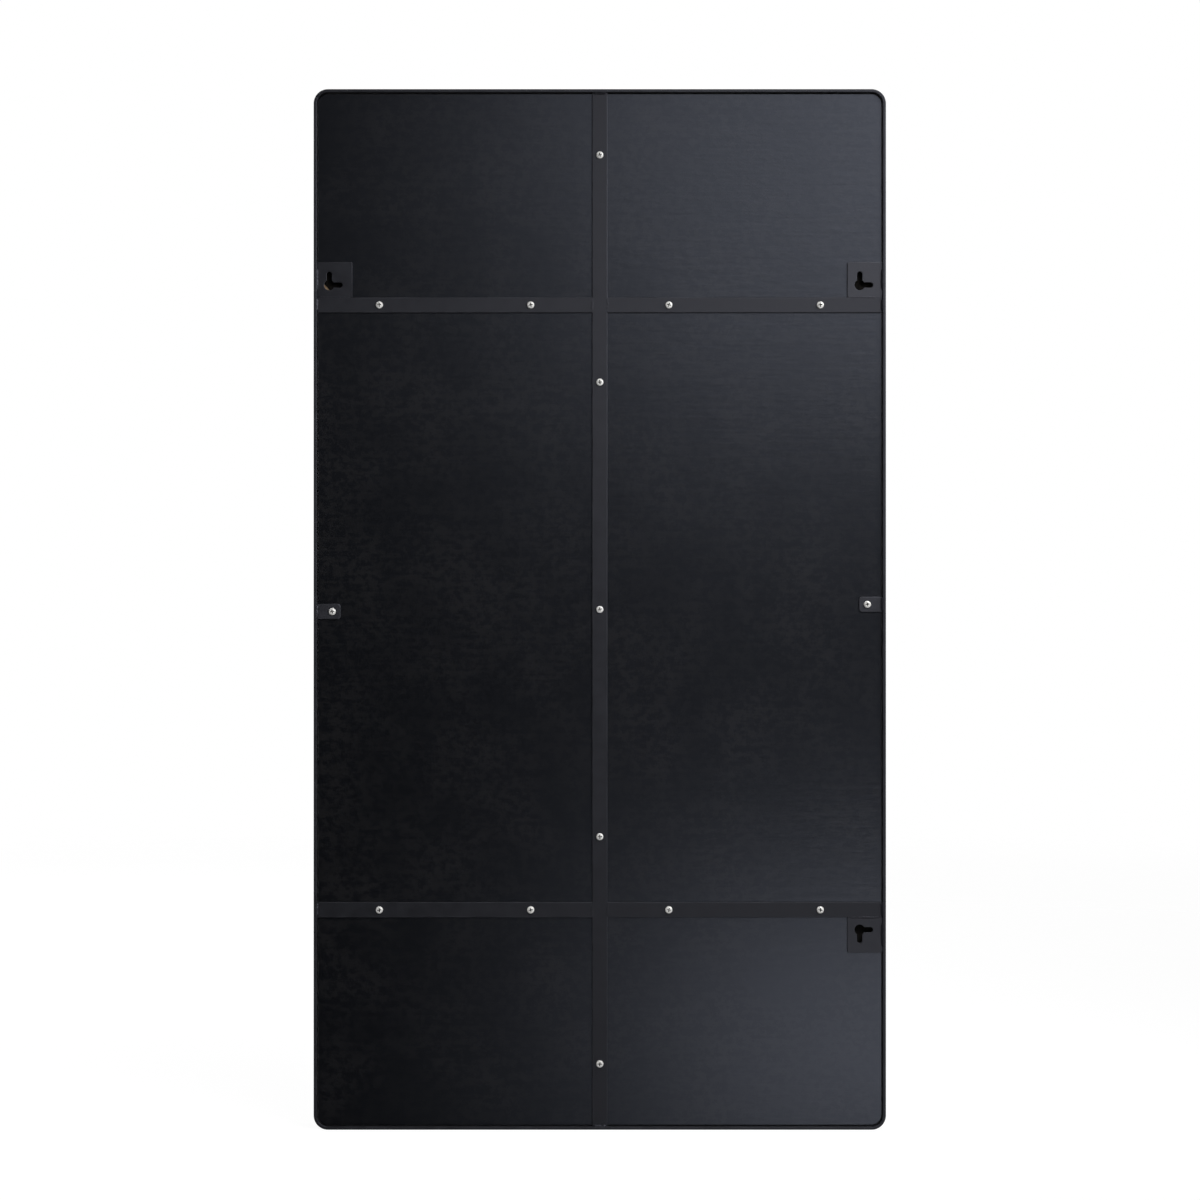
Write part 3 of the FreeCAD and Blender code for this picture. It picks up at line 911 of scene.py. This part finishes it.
def make_mirror():
    """Every piece of the mirror with its finish."""
    band_coat = powder_coat("band_coat", peel=0.02 * MM)
    bar_coat = powder_coat("bar_coat")
    tab_coat = powder_coat("tab_coat", level=0.02, worn_level=0.032)
    hanger_coat = powder_coat("hanger_coat", roughness=0.42, gloss=0.72)
    weld_coat = powder_coat("weld_coat", worn_level=0.014, peel=0.05 * MM)
    screws = [centre for node in SCREW_GROUPS for centre in centres_on(node)]
    make_band(band_coat)
    make_bars(screws, bar_coat, tab_coat)
    make_hangers(hanger_coat)
    make_welds(weld_coat)
    # The painted light goes in the upper left keyhole's pocket
    lit_place = keyhole_centre("upper_left_hanger", HANGERS["upper_left_hanger"])
    make_board(screws, board_facing(), raw_fibreboard(lit_place))
    make_glass(silvered_glass(), glass_edge())
    plated = zinc_plate("zinc_plate", *ZINC_LEVELS)
    recess_shade = zinc_plate("zinc_painted_recess_shade", *RECESS_SHADE_LEVELS)
    for node in SCREW_GROUPS:
        make_screws(node, plated, recess_shade)
    paint("mounting_tape", foam_tape())
    paint("safety_film", film_sheet())


# Studio

def softbox(name, place, aim, size, power, angle):
    """A soft lamp that the camera doesn't see, its light kept within an angle in degrees."""
    lamp = bpy.data.lights.new(name, "AREA")
    lamp.shape = "RECTANGLE"
    lamp.size = size[0]
    lamp.size_y = size[1]
    lamp.energy = power
    lamp.spread = math.radians(angle)
    made = bpy.data.objects.new(name, lamp)
    made.location = place
    made.rotation_euler = (Vector(aim) - Vector(place)).to_track_quat("-Z", "Y").to_euler()
    made.visible_camera = False
    bpy.context.scene.collection.objects.link(made)


def seen_directly(tree):
    """1 for what the camera sees straight or through clear things, otherwise 0."""
    path = add_node(tree, "ShaderNodeLightPath").outputs
    return scalar_math(tree, "MAXIMUM", path["Is Camera Ray"], path["Is Transmission Ray"])


def make_world():
    """White to the camera and grey to all else: pale in front of the glass, a dark room behind."""
    world = bpy.data.worlds.new("studio")
    bpy.context.scene.world = world
    world.use_nodes = True
    tree = world.node_tree
    background = tree.nodes["Background"]
    path = add_node(tree, "ShaderNodeLightPath").outputs
    direction = add_node(tree, "ShaderNodeTexCoord").outputs["Generated"]
    split = add_node(tree, "ShaderNodeSeparateXYZ", {"Vector": direction}).outputs
    height = remap(tree, split["Z"], -1.0, 1.0, 0.0, 1.0)
    sky = ramp(tree, height, [(place, grey(level)) for place, level in SKY])
    room = remap(tree, split["Y"], *ROOM_EDGE, ROOM_WALL_LEVEL, ROOM_LEVEL)
    in_front = remap(tree, split["Y"], *SKY_EDGE, 1.0, 0.0)
    glossy = blend_colours(tree, in_front, room, sky)
    unseen = blend_colours(tree, path["Is Glossy Ray"], grey(AMBIENT_LEVEL), glossy)
    shown = seen_directly(tree)
    tree.links.new(blend_colours(tree, shown, unseen, grey(1.0)), background.inputs["Color"])


def make_floor():
    """A pale floor: nearly white to the camera, it keeps a faint shadow and fades out."""
    mesh = bmesh.new()
    bmesh.ops.create_circle(mesh, cap_ends=True, segments=FLOOR_SEGMENTS, radius=FLOOR_RADIUS)
    data = bpy.data.meshes.new("studio_floor")
    mesh.to_mesh(data)
    mesh.free()
    floor = bpy.data.objects.new("studio_floor", data)
    floor.location = (0, 0, cad_box[0].z)
    bpy.context.scene.collection.objects.link(floor)
    material = bpy.data.materials.new("studio_floor")
    material.use_nodes = True
    tree = material.node_tree
    tree.nodes.clear()
    place = add_node(tree, "ShaderNodeTexCoord").outputs["Object"]
    distance = vector_math(tree, "LENGTH", place)["Value"]
    pale = add_node(tree, "ShaderNodeBsdfDiffuse", {"Color": grey(FLOOR_LEVEL)}).outputs["BSDF"]
    faint = add_node(tree, "ShaderNodeBsdfDiffuse", {"Color": grey(FLOOR_SEEN_LEVEL)}).outputs["BSDF"]
    glow = add_node(tree, "ShaderNodeEmission", {"Strength": FLOOR_GLOW}).outputs["Emission"]
    lit = add_node(tree, "ShaderNodeAddShader", {0: faint, 1: glow}).outputs["Shader"]
    inputs = {0: seen_directly(tree), 1: pale, 2: lit}
    shown = add_node(tree, "ShaderNodeMixShader", inputs).outputs["Shader"]
    fade = remap(tree, distance, *FLOOR_FADE, 0.0, 1.0)
    clear = add_node(tree, "ShaderNodeBsdfTransparent").outputs["BSDF"]
    faded = add_node(tree, "ShaderNodeMixShader", {0: fade, 1: shown, 2: clear}).outputs["Shader"]
    add_node(tree, "ShaderNodeOutputMaterial", {"Surface": faded})
    data.materials.append(material)
    # The low lamp stands below the floor, so the floor neither blocks it nor hides its reflection.
    floor.visible_glossy = False
    floor.visible_shadow = False


def make_camera():
    """The photograph's view: straight at the back, with the mirror framed as it is there."""
    low, high = cad_box
    scale = (high.z - low.z) / PHOTO_OBJECT_HEIGHT
    data = bpy.data.cameras.new("camera")
    data.sensor_width = CAMERA_SENSOR
    data.lens = CAMERA_SENSOR * CAMERA_DISTANCE / (PHOTO_SIZE * scale)
    camera = bpy.data.objects.new("camera", data)
    centre = PHOTO_SIZE / 2
    across = (PHOTO_OBJECT_CENTRE[0] - centre) * scale
    up = (PHOTO_OBJECT_CENTRE[1] - centre) * scale
    middle = (low + high) / 2
    camera.location = (middle.x + across, high.y + CAMERA_DISTANCE, middle.z + up)
    camera.rotation_euler = (math.pi / 2, 0, math.pi)
    bpy.context.scene.collection.objects.link(camera)
    bpy.context.scene.camera = camera


def make_studio():
    """Camera, floor, world and lamps."""
    make_camera()
    make_floor()
    make_world()
    for name, settings in SOFTBOXES.items():
        softbox(name, *settings)
    bpy.context.scene.view_settings.view_transform = "Standard"


make_mirror()
make_studio()
